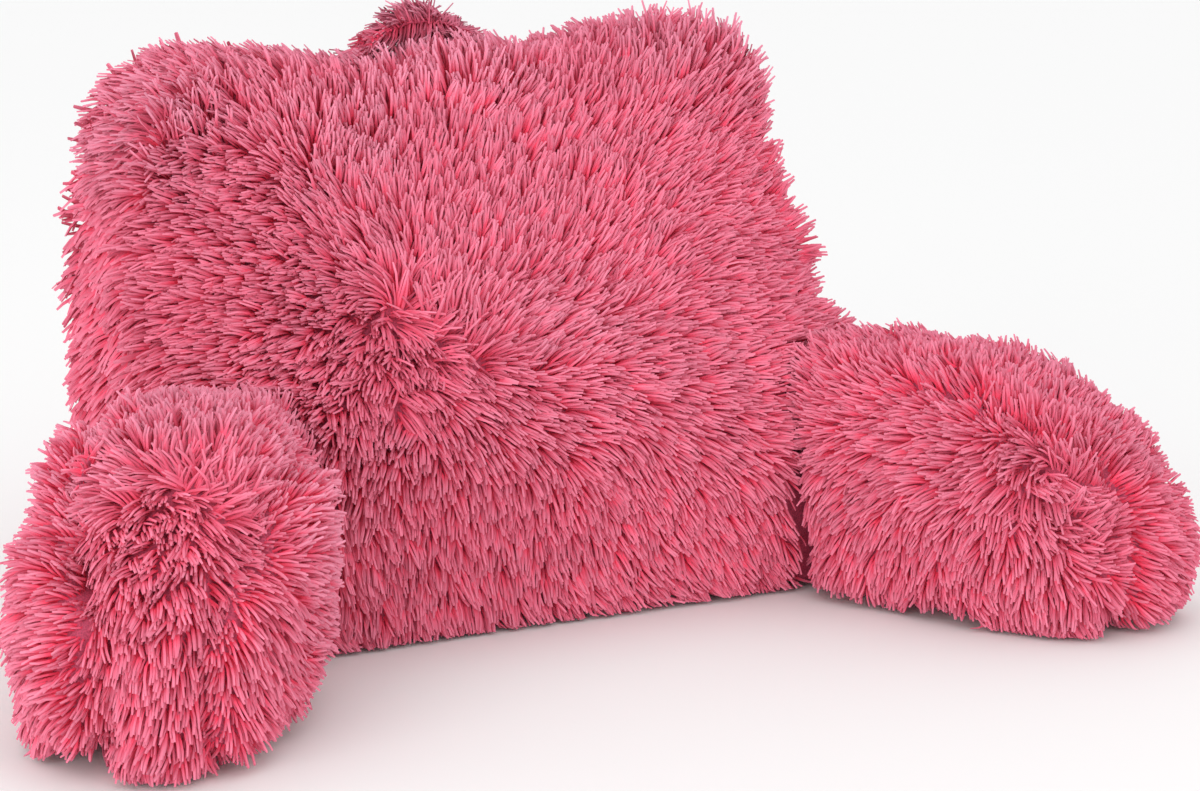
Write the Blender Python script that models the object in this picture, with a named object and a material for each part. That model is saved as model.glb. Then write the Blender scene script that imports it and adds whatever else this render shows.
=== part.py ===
"""Reading pillow with arms: a filled back cushion, two filled arms and a carry loop, all in long shaggy pile.

The solids are the outer form of the pile. X runs across the back, the reader faces -Y and +Z is up. The origin
is on the floor, under the middle of the back cushion.
"""

import math
from collections import namedtuple

import bmesh
import bpy
from mathutils import Matrix, Vector, noise

# ---- Driving dimensions, in metres and degrees ----

SEAT_GAP = 0.0003  # between pieces that are sewn together, so that their meshes stay apart
FLOOR_SINK = 0.03  # how far a cushion's own outline runs on below the floor that flattens it

# The back cushion, from the floor up: a wedge with a leaning front and a nearly upright rear. front and rear
# are where its two panels meet the strip round them.
BackRow = namedtuple("BackRow", "height half_width front rear")
BACK_ROWS = (
    BackRow(0.00, 0.281, -0.100, 0.140),
    BackRow(0.06, 0.283, -0.082, 0.150),
    BackRow(0.14, 0.281, -0.060, 0.154),
    BackRow(0.22, 0.277, -0.012, 0.162),
    BackRow(0.30, 0.265, 0.023, 0.177),
    BackRow(0.36, 0.258, 0.047, 0.179),
    BackRow(0.40, 0.257, 0.061, 0.183),
)
BACK_CELLS = (32, 10, 22)  # across, front to rear, up
BACK_CORNER = 5.8  # exponent of the panel's outline: 2 is an oval, and more is squarer
BACK_CROWN = 1.2  # the depth in the middle of the panels, as a multiple of the depth at their seams
BACK_EAR = 0.036  # how far the top corners stand above the middle of the top
LUMBAR_HEIGHT = 0.145  # where the settled filling pushes the front panel out
LUMBAR_REACH = 0.034
LUMBAR_SPREAD = 0.085

# An arm, from its root inside the back cushion to its round front end. seam_share is the width at the seams, as a
# share of the width at the crown.
ArmRow = namedtuple("ArmRow", "along top half_width seam_share")
ARM_ROWS = (
    ArmRow(0.000, 0.199, 0.060, 0.78),
    ArmRow(0.120, 0.191, 0.079, 0.76),
    ArmRow(0.195, 0.182, 0.096, 0.71),
    ArmRow(0.260, 0.164, 0.098, 0.63),
    ArmRow(0.332, 0.136, 0.087, 0.58),
)
ARM_CELLS = (18, 10, 11)  # along, across, up
ARM_CORNER = 2.7
ARM_NOSE = 0.014  # how much further the front end reaches near the floor than at its top
ARM_GROOVE = 0.011  # how deep the pile parts along an arm's two seams
ARM_ROOT = (0.200, -0.019)  # where an arm's own length starts, across and front to rear
ARM_SPLAY = 33.5  # degrees that an arm turns outwards from straight ahead

# The carry loop, a padded strap over the middle of the top.
LOOP_SPAN = 0.114  # between the middles of its two roots
LOOP_RISE = 0.045  # from its roots to the middle of the strap at its crown
LOOP_WIDTH = 0.044
LOOP_THICK = 0.016
LOOP_ROOT = (-0.008, 0.125, 0.364)  # the point between its two roots, just inside the back cushion
LOOP_CELLS = (26, 4, 2)
HOLLOW_DEPTH = 0.018  # how far the pile is pressed down under the loop
HOLLOW_SPREAD = (0.062, 0.045)

# The pile stands in tufts all over, and in longer locks round the rims.
TUFT_PITCH = 0.042
TUFT_HEIGHT = 0.019
TUFT_DROOP = 0.4
LOCK_TIP = 0.22  # the width of a lock's tip, as a share of its root's
LOCK_SPACING = 0.026
BACK_LOCK = 0.016
ARM_LOCK = 0.014
LOOP_LOCK = 0.007

PINK = (0.80, 0.16, 0.28, 1.0)
LOOP_PINK = (0.74, 0.14, 0.25, 1.0)


# ---- The scene and the material ----


def clear_scene():
    for old in list(bpy.data.objects):
        bpy.data.objects.remove(old, do_unlink=True)


def collection(name):
    made = bpy.data.collections.new(name)
    bpy.context.scene.collection.children.link(made)
    return made


def pile_material(name, colour):
    material = bpy.data.materials.new(name)
    material.use_nodes = True
    shader = material.node_tree.nodes["Principled BSDF"]
    shader.inputs["Base Color"].default_value = colour
    shader.inputs["Roughness"].default_value = 0.75
    shader.inputs["Metallic"].default_value = 0.0
    return material


# ---- The form of a filled cushion ----


def row_value(rows, key, at, column):
    """The column's value at a place along the rows, on a smooth curve through them."""
    places = [getattr(row, key) for row in rows]
    values = [getattr(row, column) for row in rows]
    at = min(max(at, places[0]), places[-1])
    step = next(i for i in range(len(rows) - 1) if at <= places[i + 1])
    before, after = max(step - 1, 0), min(step + 2, len(rows) - 1)
    run = places[step + 1] - places[step]
    slope_in = (values[step + 1] - values[before]) / (places[step + 1] - places[before])
    slope_out = (values[after] - values[step]) / (places[after] - places[step])
    share = (at - places[step]) / run
    square, cube = share**2, share**3
    return (
        (2 * cube - 3 * square + 1) * values[step]
        + (cube - 2 * square + share) * slope_in * run
        + (3 * square - 2 * cube) * values[step + 1]
        + (cube - square) * slope_out * run
    )


def rounded(a, c, exponent):
    """Rounds the corners of a square from -1 to 1, and gives the point's reach from its middle."""
    reach = max(abs(a), abs(c))
    if reach == 0:
        return a, c, 0.0
    length = (abs(a) ** exponent + abs(c) ** exponent) ** (1 / exponent)
    return a * reach / length, c * reach / length, reach


def block(cells):
    """A cube from -1 to 1 with its faces divided into cells."""
    bm = bmesh.new()
    bmesh.ops.create_cube(bm, size=2)
    for axis, count in enumerate(cells):
        along = [e for e in bm.edges if abs((e.verts[0].co - e.verts[1].co)[axis]) > 1]
        bmesh.ops.subdivide_edges(bm, edges=along, cuts=count - 1, use_grid_fill=True)
    return bm


def soften(bm, times):
    """Rounds the block's edges, as filling rounds a boxed cushion."""
    for _ in range(times):
        bmesh.ops.smooth_vert(
            bm, verts=bm.verts, factor=0.5, use_axis_x=True, use_axis_y=True, use_axis_z=True
        )


def flatten_at_floor(bm):
    """Cuts away what is below the floor and closes the cut with one flat face."""
    whole = bm.verts[:] + bm.edges[:] + bm.faces[:]
    cut = bmesh.ops.bisect_plane(
        bm, geom=whole, plane_co=(0, 0, 0), plane_no=(0, 0, -1), clear_outer=True
    )
    rim = [item for item in cut["geom_cut"] if isinstance(item, bmesh.types.BMEdge)]
    for edge in rim:
        for vert in edge.verts:
            vert.co.z = 0
    bmesh.ops.contextual_create(bm, geom=rim)


# ---- The pile ----


def raise_tufts(bm, seed, share_at):
    """Raises the pile in tufts that hang a little, nowhere on the floor face."""
    bm.normal_update()
    shift = Vector((seed * 7.1, seed * 3.7, seed * 5.3))
    moves = {}
    for vert in bm.verts:
        if vert.co.z < 0.001:
            continue
        from_middle = noise.voronoi(vert.co / TUFT_PITCH + shift)[0][0]
        lift = TUFT_HEIGHT * (0.4 - from_middle) * share_at(vert.co) * min(vert.co.z / 0.03, 1)
        moves[vert] = (vert.normal + Vector((0, 0, -TUFT_DROOP))) * lift
    for vert, move in moves.items():
        vert.co += move


def spaced(faces, spacing):
    """Faces that are at least the spacing apart and share no corner."""
    kept = []
    corners = set()
    for face in sorted(faces, key=lambda f: noise.cell(f.calc_center_median() * 400)):
        centre = face.calc_center_median()
        clear = all((centre - other).length > spacing for _, other in kept)
        if clear and corners.isdisjoint(face.verts):
            kept.append((face, centre))
            corners.update(face.verts)
    return [face for face, _ in kept]


def grow_locks(bm, roots, length, lay):
    """Draws each root face out into a lock that narrows to its tip and leans with the pile's lay."""
    bm.normal_update()
    directions = [(face.normal + lay(face.calc_center_median())).normalized() for face in roots]
    grown = bmesh.ops.extrude_discrete_faces(bm, faces=roots)["faces"]
    for face, direction in zip(grown, directions):
        centre = face.calc_center_median()
        reach = length * (0.7 + 0.6 * noise.random())
        for vert in face.verts:
            vert.co = centre + (vert.co - centre) * LOCK_TIP + direction * reach


def finish(bm, name, place, material, target):
    """Makes the object, shaded smooth where its form is round."""
    bmesh.ops.recalc_face_normals(bm, faces=bm.faces)
    mesh = bpy.data.meshes.new(name)
    bm.to_mesh(mesh)
    bm.free()
    mesh.materials.append(material)
    mesh.shade_smooth()
    mesh.set_sharp_from_angle(angle=math.radians(60))
    made = bpy.data.objects.new(name, mesh)
    made.matrix_world = place
    target.objects.link(made)
    return made


# ---- The back cushion ----


def back_point(across, depth, up):
    """A point of the back cushion, from its place in the block."""
    a, c, reach = rounded(across, up, BACK_CORNER)
    top = BACK_ROWS[-1].height
    height = (c + 1) / 2 * (top + FLOOR_SINK) - FLOOR_SINK
    half_width = row_value(BACK_ROWS, "height", height, "half_width")
    front = row_value(BACK_ROWS, "height", height, "front")
    rear = row_value(BACK_ROWS, "height", height, "rear")
    crown = BACK_CROWN + (1 - BACK_CROWN) * reach**2.4
    lumbar = LUMBAR_REACH * math.exp(-(((height - LUMBAR_HEIGHT) / LUMBAR_SPREAD) ** 2))
    pushed = max(-depth, 0) * lumbar * (1 - a**4)
    ears = BACK_EAR * max(height / top, 0) ** 4 * (a * a - 0.5)
    y = (front + rear) / 2 + depth * crown * (rear - front) / 2 - pushed
    return Vector((a * half_width, y, height + ears))


def calm_at_loop(point):
    """Lower tufts on the top where the carry loop is sewn."""
    near = abs(point.x) < LOOP_SPAN and point.z > LOOP_ROOT[2] - 0.02
    return 0.2 if near else 1.0


def press_under_loop(bm):
    """Presses the top down where a hand goes under the carry loop."""
    for vert in bm.verts:
        across = (vert.co.x - LOOP_ROOT[0]) / HOLLOW_SPREAD[0]
        along = (vert.co.y - LOOP_ROOT[1]) / HOLLOW_SPREAD[1]
        if vert.co.z > LOOP_ROOT[2]:
            vert.co.z -= HOLLOW_DEPTH * math.exp(-(across**2) - along**2)


def back_lay(point):
    """The pile stands up and outwards along the top, and hangs down the sides."""
    on_top = point.z > BACK_ROWS[-2].height
    return Vector((math.copysign(0.35, point.x), 0, 0.35 if on_top else -0.7))


def back_rim(bm):
    """The faces of the strip round the upper part of the back cushion, clear of the carry loop."""
    bm.normal_update()
    found = []
    for face in bm.faces:
        centre = face.calc_center_median()
        on_strip = abs(face.normal.y) < 0.6 and centre.z > 0.235
        if on_strip and not (abs(centre.x) < LOOP_SPAN and centre.y > 0.06 and centre.z > 0.35):
            found.append(face)
    return found


def make_back(material, target, helpers):
    """The back cushion, and a copy grown by the seat gap that cuts what is sewn to it."""
    bm = block(BACK_CELLS)
    for vert in bm.verts:
        vert.co = back_point(*vert.co)
    soften(bm, 3)
    flatten_at_floor(bm)
    raise_tufts(bm, 1, calm_at_loop)
    press_under_loop(bm)
    bmesh.ops.triangulate(bm, faces=bm.faces)
    grown = bm.copy()
    grown.normal_update()
    for vert in grown.verts:
        vert.co += vert.normal * SEAT_GAP
    cutter = finish(grown, "back_cutter", Matrix(), material, helpers)
    cutter.hide_render = True
    cutter.display_type = "WIRE"
    grow_locks(bm, spaced(back_rim(bm), LOCK_SPACING), BACK_LOCK, back_lay)
    finish(bm, "back_cushion", Matrix(), material, target)
    return cutter


def seat(piece, cutter):
    """Cuts a piece to the face of the back cushion that it is sewn to."""
    cut = piece.modifiers.new("sewn to the back", "BOOLEAN")
    cut.operation = "DIFFERENCE"
    cut.object = cutter


# ---- The arms ----


def arm_point(along, across, up):
    """A point of an arm in its own frame: its length runs along X, and the floor is at z = 0."""
    a, c, reach = rounded(along, up, ARM_CORNER)
    place = (a + 1) / 2 * ARM_ROWS[-1].along
    top = row_value(ARM_ROWS, "along", place, "top")
    half_width = row_value(ARM_ROWS, "along", place, "half_width")
    height = (c + 1) / 2 * (top + FLOOR_SINK) - FLOOR_SINK
    seam_share = row_value(ARM_ROWS, "along", place, "seam_share")
    share = 1 - (1 - seam_share) * reach**2.2
    nose = ARM_NOSE * max(a, 0) * (1 - height / top)
    return Vector((place + nose, across * half_width * share, height))


def arm_lay(point):
    """The pile of an arm leans to its front end and hangs a little."""
    return Vector((0.35, 0, -0.15))


def arm_rim(bm):
    """The faces of the strip over the top and the front end of an arm, clear of the back cushion."""
    bm.normal_update()
    found = []
    for face in bm.faces:
        centre = face.calc_center_median()
        if abs(face.normal.y) < 0.85 and centre.x > 0.16 and centre.z > 0.055:
            found.append(face)
    return found


def make_arm(name, side, material, target, cutter):
    """An arm: side is -1 for the one at -X, and 1 for the one at +X."""
    bm = block(ARM_CELLS)
    seams = [v for v in bm.verts if abs(v.co.y) > 0.99 and max(abs(v.co.x), abs(v.co.z)) > 0.99]
    for vert in bm.verts:
        vert.co = arm_point(*vert.co)
    soften(bm, 3)
    raise_tufts(bm, 3 + side, lambda point: 1.0)
    bm.normal_update()
    for vert in seams:
        vert.co -= vert.normal * ARM_GROOVE
    flatten_at_floor(bm)
    bmesh.ops.triangulate(bm, faces=bm.faces)
    grow_locks(bm, spaced(arm_rim(bm), LOCK_SPACING), ARM_LOCK, arm_lay)
    angle = -math.pi / 2 + side * math.radians(ARM_SPLAY)
    root = Matrix.Translation((side * ARM_ROOT[0], ARM_ROOT[1], 0))
    arm = finish(bm, name, root @ Matrix.Rotation(angle, 4, "Z"), material, target)
    seat(arm, cutter)


# ---- The carry loop ----


def loop_point(along, across, thick):
    """A point of the strap, which rises in half an oval from one root to the other."""
    turn = along * math.pi / 2
    middle = Vector((LOOP_SPAN / 2 * math.sin(turn), LOOP_RISE * math.cos(turn)))
    outward = Vector((LOOP_RISE * math.sin(turn), LOOP_SPAN / 2 * math.cos(turn))).normalized()
    a, c, _ = rounded(across, thick, 2.6)
    middle += outward * c * LOOP_THICK / 2
    return Vector((middle.x, a * LOOP_WIDTH / 2, middle.y))


def loop_lay(point):
    """The pile of the strap fans out from its crown."""
    return Vector((point.x * 6, 0, 0.2))


def loop_rim(bm):
    """The outer faces of the strap, well above its roots."""
    bm.normal_update()
    return [
        face
        for face in bm.faces
        if face.calc_center_median().z > 0.035 and face.normal.z > 0.1
    ]


def make_loop(material, target, cutter):
    bm = block(LOOP_CELLS)
    for vert in bm.verts:
        vert.co = loop_point(*vert.co)
    bmesh.ops.triangulate(bm, faces=bm.faces)
    grow_locks(bm, spaced(loop_rim(bm), LOCK_SPACING / 2), LOOP_LOCK, loop_lay)
    loop = finish(bm, "carry_loop", Matrix.Translation(LOOP_ROOT), material, target)
    seat(loop, cutter)


# ---- The pillow ----


def main():
    clear_scene()
    noise.seed_set(11)
    pillow = collection("reading_pillow")
    helpers = collection("cutters")
    pile = pile_material("shaggy pile", PINK)
    cutter = make_back(pile, pillow, helpers)
    for name, side in (("arm_left", -1), ("arm_right", 1)):
        make_arm(name, side, pile, pillow, cutter)
    make_loop(pile_material("loop pile", LOOP_PINK), pillow, cutter)


main()
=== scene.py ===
"""Reading pillow with arms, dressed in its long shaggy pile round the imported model."""

import math
from collections import namedtuple

import bmesh
import bpy
import numpy as np
from mathutils import Matrix, Vector
from mathutils.bvhtree import BVHTree


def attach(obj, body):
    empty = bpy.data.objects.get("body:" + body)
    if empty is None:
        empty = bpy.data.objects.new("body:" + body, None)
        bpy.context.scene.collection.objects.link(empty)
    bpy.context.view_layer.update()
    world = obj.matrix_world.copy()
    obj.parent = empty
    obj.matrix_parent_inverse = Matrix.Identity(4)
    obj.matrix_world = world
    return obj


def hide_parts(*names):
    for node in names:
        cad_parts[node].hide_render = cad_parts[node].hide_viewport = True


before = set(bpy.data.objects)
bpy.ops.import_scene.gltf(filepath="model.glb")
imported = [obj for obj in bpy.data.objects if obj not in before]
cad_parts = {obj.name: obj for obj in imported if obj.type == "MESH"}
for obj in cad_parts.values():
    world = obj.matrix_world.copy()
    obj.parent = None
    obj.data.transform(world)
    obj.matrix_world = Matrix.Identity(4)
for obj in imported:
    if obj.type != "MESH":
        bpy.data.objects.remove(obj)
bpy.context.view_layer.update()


# ---- The back cushion ----
# A wedge of loose filling in a sewn case: a front panel that leans back, a rear panel and a strip round them.
# The case is knitted backing cloth with a long pile, combed by hand: up and outwards over the top, to both
# sides of a parting at the middle, and straight down over the seat. It stands on its own flat underside.

BACK_CLOTH_CELL = 0.010  # mesh size of the cloth, in metres, as every size here
BACK_LOCK = 0.021  # length of a lock

# one stroke of the comb: its place, the way it lays the pile, and how upright, loose and long that pile is
Stroke = namedtuple("Stroke", "x y z across along up stand loose reach", defaults=(0.15, 1.0))
BACK_STROKES = (
    # whorl near the top left corner
    Stroke(-0.22, 0.05, 0.36, 0.0, -0.3, 0.9, 0.9, 0.6),
    Stroke(-0.24, 0.07, 0.37, -0.8, 0.3, 0.4, 0.7, 0.3, 1.3),
    Stroke(-0.25, 0.07, 0.35, -0.9, 0.4, -0.1, 0.6, 0.3, 1.3),
    Stroke(-0.23, 0.06, 0.39, -0.2, 0.4, 1.0, 0.7, 0.3, 1.2),
    # along the top
    Stroke(-0.16, 0.06, 0.38, 0.0, 0.3, 1.0, 0.5),
    Stroke(-0.10, 0.06, 0.38, 0.1, 0.3, 1.0, 0.5),
    Stroke(0.00, 0.08, 0.37, 0.1, 0.2, 1.0, 0.7, 0.2, 1.1),
    Stroke(-0.05, 0.09, 0.37, -0.1, 0.2, 1.0, 0.8, 0.2, 1.1),
    Stroke(0.00, 0.13, 0.37, 0.1, 0.2, 1.0, 0.9, 0.3, 0.9),
    Stroke(0.16, 0.06, 0.38, 0.3, 0.3, 1.0, 0.6, 0.2, 1.3),
    Stroke(0.23, 0.08, 0.39, 0.8, 0.2, 0.6, 0.8, 0.3, 1.5),
    # left of the parting
    Stroke(-0.18, 0.02, 0.30, -1.0, 0.1, -0.1, 0.35),
    Stroke(-0.26, 0.01, 0.27, -0.9, 0.4, -0.3, 0.3),
    Stroke(-0.21, -0.02, 0.23, -1.0, 0.0, -0.2, 0.3),
    Stroke(-0.145, -0.03, 0.23, -1.0, 0.0, -0.2, 0.4),
    Stroke(-0.20, -0.06, 0.19, -0.9, -0.1, -0.4, 0.4),
    Stroke(-0.28, 0.07, 0.30, -0.3, 0.8, -0.5, 0.25),
    Stroke(-0.28, 0.07, 0.20, -0.2, 0.7, -0.6, 0.35, 0.2, 1.1),
    Stroke(-0.28, 0.07, 0.12, 0.0, 0.3, -0.9, 0.4, 0.2, 1.2),
    # right of the parting
    Stroke(-0.09, 0.03, 0.32, 0.1, 0.2, 0.9, 0.7),
    Stroke(-0.10, 0.00, 0.27, -0.4, 0.3, 0.8, 0.4),
    Stroke(-0.05, 0.00, 0.27, 0.4, 0.4, 0.8, 0.35),
    Stroke(-0.03, 0.03, 0.32, 0.2, 0.4, 0.9, 0.35),
    Stroke(0.05, 0.00, 0.29, 0.4, 0.4, 0.8, 0.35),
    Stroke(-0.055, -0.03, 0.23, 0.7, 0.3, 0.6, 0.4),
    Stroke(0.09, -0.02, 0.25, 0.6, 0.4, 0.7, 0.35),
    Stroke(0.10, 0.04, 0.34, 0.5, 0.3, 0.8, 0.35),
    Stroke(0.17, 0.03, 0.32, 0.8, 0.3, 0.5, 0.35),
    Stroke(0.21, 0.01, 0.29, 1.0, 0.2, 0.2, 0.35),
    Stroke(0.22, -0.02, 0.24, 1.0, 0.1, -0.2, 0.35),
    Stroke(0.16, -0.04, 0.21, 1.0, 0.0, -0.2, 0.35),
    # over the settled filling, and down the seat
    Stroke(0.02, -0.06, 0.20, 1.0, 0.1, 0.1, 0.5),
    Stroke(0.11, -0.08, 0.18, 1.0, 0.0, -0.2, 0.35),
    Stroke(0.18, -0.08, 0.17, 1.0, -0.1, -0.2, 0.35),
    Stroke(-0.13, -0.05, 0.205, -0.8, -0.2, -0.4, 0.3, 0.4),
    Stroke(-0.10, -0.06, 0.20, -0.3, -0.5, -0.7, 0.25, 0.7),
    Stroke(-0.11, -0.08, 0.18, 0.0, -0.6, -0.7, 0.2, 0.7),
    Stroke(-0.06, -0.10, 0.16, 0.3, -0.4, -0.8, 0.4),
    Stroke(0.03, -0.10, 0.16, 0.8, -0.3, -0.5, 0.35),
    Stroke(0.11, -0.11, 0.14, 0.9, -0.1, -0.4, 0.35),
    Stroke(-0.14, -0.10, 0.15, -0.4, -0.3, -0.8, 0.4),
    Stroke(-0.10, -0.11, 0.10, 0.0, 0.0, -1.0, 0.3, 0.15, 0.82),
    Stroke(-0.04, -0.11, 0.10, 0.1, 0.0, -1.0, 0.3, 0.15, 0.82),
    Stroke(0.04, -0.11, 0.09, 0.2, 0.0, -1.0, 0.3, 0.15, 0.82),
    Stroke(0.11, -0.11, 0.09, 0.4, 0.0, -0.9, 0.3, 0.15, 0.82),
    Stroke(0.15, -0.11, 0.04, 0.3, 0.0, -1.0, 0.3, 0.15, 0.82),
    Stroke(-0.12, -0.11, 0.03, 0.0, 0.0, -1.0, 0.3, 0.15, 0.82),
    # right side and rear
    Stroke(0.28, 0.07, 0.36, 0.7, 0.2, 0.3, 0.7, 0.2, 1.3),
    Stroke(0.28, 0.06, 0.24, 0.2, 0.8, -0.5, 0.35),
    Stroke(0.28, 0.05, 0.12, 0.0, 0.4, -0.9, 0.3),
    Stroke(-0.15, 0.16, 0.39, -0.2, 0.7, 0.6, 0.5),
    Stroke(0.15, 0.16, 0.39, 0.2, 0.7, 0.6, 0.5),
    Stroke(0.00, 0.165, 0.38, 0.0, 0.9, -0.2, 0.4),
    Stroke(0.00, 0.185, 0.33, 0.1, 0.1, -1.0, 0.35),
    Stroke(-0.17, 0.19, 0.30, -0.4, 0.2, -0.8, 0.35),
    Stroke(0.17, 0.19, 0.30, 0.4, 0.2, -0.8, 0.35),
    Stroke(0.00, 0.20, 0.25, 0.1, 0.1, -1.0, 0.35),
    Stroke(-0.15, 0.18, 0.12, -0.2, 0.0, -1.0, 0.3),
    Stroke(0.15, 0.18, 0.12, 0.2, 0.0, -1.0, 0.3),
)

# where the filling stands prouder of the plain wedge, or less proud: a place, its spread and the height
Swell = namedtuple("Swell", "x y z spread height")
BACK_SWELLS = (
    Swell(0.190, 0.08, 0.39, 0.055, 0.015),
    Swell(0.245, 0.06, 0.36, 0.035, 0.010),
    Swell(0.250, 0.02, 0.30, 0.050, -0.010),
    Swell(0.250, -0.01, 0.24, 0.045, -0.015),
    Swell(-0.240, 0.11, 0.37, 0.045, -0.009),
    Swell(-0.190, 0.08, 0.39, 0.050, -0.006),
    Swell(0.010, 0.08, 0.38, 0.040, 0.027),
    Swell(-0.012, 0.118, 0.375, 0.036, 0.017),
    Swell(0.100, 0.12, 0.39, 0.050, 0.005),
    Swell(-0.280, 0.08, 0.16, 0.050, 0.010),
    Swell(-0.150, -0.10, 0.01, 0.050, 0.005),
)


class Wire:
    """A socket in an expression: each operator adds the node that works it out."""

    def __init__(self, socket):
        self.socket = socket

    def is_vector(self):
        return self.socket.type in ("VECTOR", "RGBA")

    def scaled(self, by):
        tree = self.socket.id_data
        return put(tree, "ShaderNodeVectorMath", {"operation": "SCALE"}, Vector=self, Scale=by)["Vector"]

    def __add__(self, other):
        return maths("ADD", self, other)

    def __radd__(self, other):
        return maths("ADD", other, self)

    def __sub__(self, other):
        return maths("SUBTRACT", self, other)

    def __rsub__(self, other):
        return maths("SUBTRACT", other, self)

    def __mul__(self, other):
        narrow = isinstance(other, (int, float)) or (isinstance(other, Wire) and not other.is_vector())
        if self.is_vector() and narrow:
            return self.scaled(other)
        if not self.is_vector() and isinstance(other, Wire) and other.is_vector():
            return other.scaled(self)
        return maths("MULTIPLY", self, other)

    __rmul__ = __mul__

    def __truediv__(self, other):
        return maths("DIVIDE", self, other)

    def __rtruediv__(self, other):
        return maths("DIVIDE", other, self)

    def __pow__(self, other):
        return maths("POWER", self, other)

    def __rpow__(self, other):
        return maths("POWER", other, self)

    def unit(self):
        return maths("NORMALIZE", self)

    def dot(self, other):
        return maths("DOT_PRODUCT", self, other)

    def cross(self, other):
        return maths("CROSS_PRODUCT", self, other)


def feed(slot, item):
    """Links a wire to a socket, or sets the socket's own value."""
    if isinstance(item, Wire):
        slot.id_data.links.new(item.socket, slot)
        return
    if isinstance(item, (int, float)) and hasattr(slot.default_value, "__len__"):
        item = (item,) * len(slot.default_value)
    slot.default_value = item


def maths(operation, *operands):
    """One operation on wires, numbers and triples: on vectors if one of them is one, and else on numbers."""
    wires = [item for item in operands if isinstance(item, Wire)]
    wide = any(wire.is_vector() for wire in wires) or any(isinstance(item, tuple) for item in operands)
    kind = "ShaderNodeVectorMath" if wide else "ShaderNodeMath"
    made = wires[0].socket.id_data.nodes.new(kind)
    made.operation = operation
    for slot, item in zip(made.inputs, operands):
        feed(slot, item)
    return Wire(next(out for out in made.outputs if out.enabled))


class Made:
    """A node that was just added, whose outputs are wires by name."""

    def __init__(self, node):
        self.node = node

    def __getitem__(self, name):
        return Wire(next(out for out in self.node.outputs if out.name == name and out.enabled))


def put(tree, kind, settings, **values):
    """Adds a node: its settings first, then the values or wires of its sockets, named with _ for spaces."""
    node = tree.nodes.new(kind)
    for name, value in settings.items():
        setattr(node, name, value)
    for name, value in values.items():
        wanted = name.replace("_", " ")
        feed(next(slot for slot in node.inputs if slot.enabled and slot.name == wanted), value)
    return Made(node)


def new_piece(name, mesh):
    made = bpy.data.objects.new(name, mesh)
    bpy.context.scene.collection.objects.link(made)
    return made


def evaluated_mesh(piece):
    """The piece's mesh with its modifiers worked in."""
    graph = bpy.context.evaluated_depsgraph_get()
    return bpy.data.meshes.new_from_object(piece.evaluated_get(graph), depsgraph=graph)


def points_of(mesh):
    flat = np.empty(len(mesh.vertices) * 3)
    mesh.vertices.foreach_get("co", flat)
    return flat.reshape(-1, 3)


def normals_of(mesh):
    flat = np.empty(len(mesh.vertices) * 3)
    mesh.vertex_normals.foreach_get("vector", flat)
    return flat.reshape(-1, 3)


def set_points(mesh, points):
    mesh.vertices.foreach_set("co", np.asarray(points, float).ravel())
    mesh.update()


def evened(mesh, times, values=None, keeping=False):
    """Each point, or each given value, drawn towards the middle of its neighbours, and each time let out
    again if the form's fullness is to be kept."""
    ends = np.empty(len(mesh.edges) * 2, int)
    mesh.edges.foreach_get("vertices", ends)
    ends = ends.reshape(-1, 2)
    count = np.bincount(ends.ravel(), minlength=len(mesh.vertices))[:, None]
    moved = points_of(mesh) if values is None else np.asarray(values, float).reshape(len(count), -1)
    shares = (0.6, -0.62) if keeping else (0.5,)
    for share in shares * times:
        total = np.zeros_like(moved)
        for column in range(moved.shape[1]):
            total[:, column] = np.bincount(ends[:, 0], moved[ends[:, 1], column], len(count))
            total[:, column] += np.bincount(ends[:, 1], moved[ends[:, 0], column], len(count))
        moved = moved + share * (total / count - moved)
    return moved


WELDED_WITHIN = 1e-6


def welded(node):
    """A copy of a CAD solid's mesh with its triangles joined."""
    bm = bmesh.new()
    bm.from_mesh(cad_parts[node].data)
    bmesh.ops.remove_doubles(bm, verts=bm.verts, dist=WELDED_WITHIN)
    mesh = bpy.data.meshes.new(node + "_form")
    bm.to_mesh(mesh)
    bm.free()
    return mesh


def surface_tree(node):
    bm = bmesh.new()
    bm.from_mesh(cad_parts[node].data)
    made = BVHTree.FromBMesh(bm)
    bm.free()
    return made


SOLIDS = {node: surface_tree(node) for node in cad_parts}


def gap_to(node, points):
    """How far each point is from the surface of a CAD solid."""
    return np.array([SOLIDS[node].find_nearest(Vector(point))[3] for point in points])


DEEPEST_PILE = 0.022  # from the tips of the pile down to the cloth
PRESSED_DEPTH = 0.002  # the same where cushions are sewn together
PRESSED_WITHIN = 0.014  # of a neighbour: wholly pressed at half of this, and not at one and a half times
LOWEST_CLOTH = 0.003  # over the ground
RISE_PER_STAND = 0.65  # of a lock, as a share of its length
LEAST_HEIGHT = 0.28  # of pile that is combed flat, as a share of its length
FILLING_LIMIT = 0.012  # furthest that the filling moves the cloth
FILLING_FRAMES = 20


def pile_height(length, stand, reach, points, swells):
    """How far the cloth lies below the form: the pile's height over it, less the swells."""
    height = np.clip(length * reach * (stand * RISE_PER_STAND + LEAST_HEIGHT), 0, DEEPEST_PILE)
    for swell in swells:
        gaps = ((points - (swell.x, swell.y, swell.z)) ** 2).sum(1)
        height -= swell.height * np.exp(-gaps / swell.spread**2)
    return height


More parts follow.
